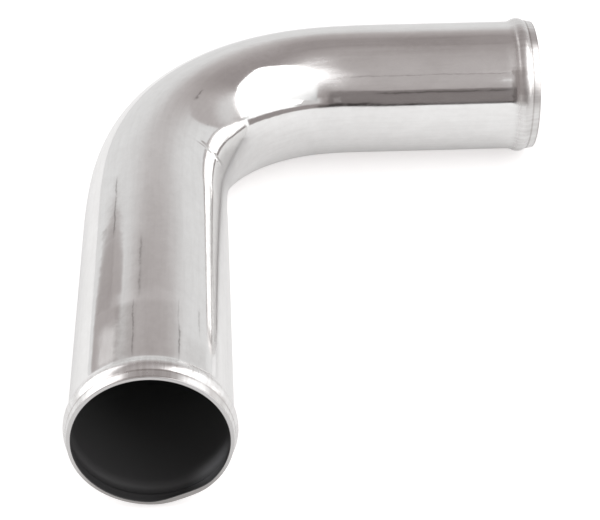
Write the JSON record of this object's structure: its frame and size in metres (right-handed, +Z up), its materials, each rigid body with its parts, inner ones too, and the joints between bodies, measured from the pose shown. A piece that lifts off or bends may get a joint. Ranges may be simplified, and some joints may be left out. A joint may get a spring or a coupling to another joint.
{
  "type": "aluminium pipe bend",
  "caption": "Bent round aluminium tube with a long and a short straight leg, a rolled hose bead behind each open end and a small dent in one lip.",
  "frame": {"origin": "centre of the long leg's mouth, on the tube's centre line", "axes": "+Y along the long leg, into the tube; +X along the short leg, out of its mouth; +Z up, square to the plane that both legs lie in"},
  "size_m": [0.2617, 0.3567, 0.0794],
  "materials": {
    "bare_aluminium": "polished bare metal with drawing lines, soft dark streaks and fine scratches"
  },
  "bodies": {
    "root": {"pipe_bend": "bare_aluminium"}
  },
  "joints": []
}
